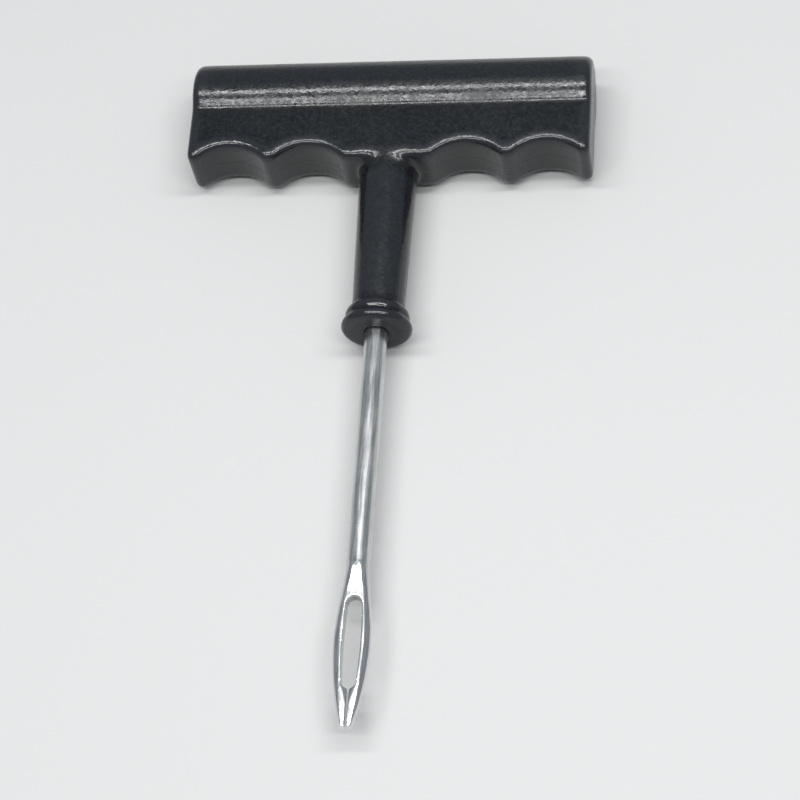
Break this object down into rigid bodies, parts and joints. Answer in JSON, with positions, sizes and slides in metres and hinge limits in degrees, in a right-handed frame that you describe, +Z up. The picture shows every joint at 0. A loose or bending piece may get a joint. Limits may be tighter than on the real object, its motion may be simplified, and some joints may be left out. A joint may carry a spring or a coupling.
{
  "type": "tyre plug insertion tool",
  "caption": "T-handled tyre plug insertion tool: black moulded grip with finger scallops and ringed collar, and a plated steel needle with a split eye.",
  "frame": {"origin": "middle of the tool's length and width, on the surface that the bar rests on when the tool lies flat", "axes": "+X along the T-bar, -Y from the bar along the needle to its tip, +Z up, square to the flat faces of the web"},
  "size_m": [0.082, 0.145, 0.016],
  "materials": {
    "grip_plastic": "black moulded plastic with a fine spark-eroded grain and a satin sheen, smoother on the collar",
    "plated_steel": "bright plating over drawn wire, satin on the shank and brighter on the pressed faces of the eye"
  },
  "bodies": {
    "root": {"grip": "grip_plastic", "needle": "plated_steel"}
  },
  "joints": []
}
